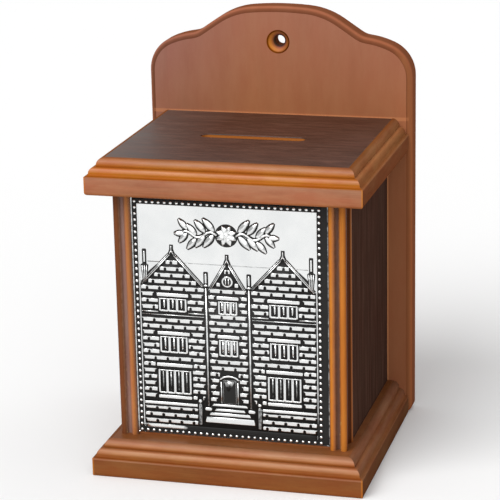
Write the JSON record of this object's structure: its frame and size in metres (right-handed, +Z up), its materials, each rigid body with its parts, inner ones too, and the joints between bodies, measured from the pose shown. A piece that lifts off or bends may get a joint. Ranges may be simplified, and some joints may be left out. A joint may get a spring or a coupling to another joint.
{
  "type": "donation box",
  "caption": "Wall-hung wooden donation box with a coin slot in its moulded lid, shaped back board, raised metal front plaque and hinged trap door in the base.",
  "frame": {"origin": "middle of the footprint's bounding box, at the underside of the base", "axes": "+Z up, the plaque faces -Y, the back board's rear face is at +Y, +X to the right seen from the front"},
  "size_m": [0.123, 0.1134, 0.1905],
  "materials": {
    "stained_wood": "orange-brown stain under satin lacquer",
    "moulding_wood": "orange-brown stain under satin lacquer, darker in the grooves",
    "lid_veneer": "dark walnut stain on the top face, satin lacquer",
    "side_veneer": "very dark brown stain, satin lacquer",
    "inner_wood": "bare softwood",
    "plaque_silver": "bright silver coating, blackened in the recesses",
    "brass": "bright, lightly handled",
    "steel": "zinc-plated",
    "magnet": "ground ferrite"
  },
  "bodies": {
    "box": {"back_board": "stained_wood", "lid_panel": "lid_veneer", "lid_moulding_front": "moulding_wood", "lid_moulding_left": "moulding_wood", "lid_moulding_right": "moulding_wood", "base_moulding_front": "moulding_wood", "base_moulding_left": "moulding_wood", "base_moulding_right": "moulding_wood", "bottom_panel": "stained_wood", "corner_post_left": "moulding_wood", "corner_post_right": "moulding_wood", "side_panel_left": "side_veneer", "side_panel_right": "side_veneer", "front_panel": "stained_wood", "plaque": "plaque_silver", "rear_cleat_left": "inner_wood", "rear_cleat_right": "inner_wood", "back_screws": "steel", "door_stop_strip": "inner_wood", "catch_magnet": "magnet", "hinge_fixed_leaf_left": "brass", "hinge_fixed_leaf_right": "brass", "hinge_pin_left": "steel", "hinge_pin_right": "steel", "hinge_screws_panel": "brass"},
    "door": {"trap_door": "stained_wood", "door_knob": "brass", "catch_plate": "steel", "hinge_door_leaf_left": "brass", "hinge_door_leaf_right": "brass", "hinge_screws_door": "brass"}
  },
  "joints": [
    {"name": "trap_door", "type": "hinge", "parent": "box", "child": "door", "pos_m": [0, 0.02675, 0.0078], "axis": [1, 0, 0], "range_deg": [0, 100]}
  ]
}
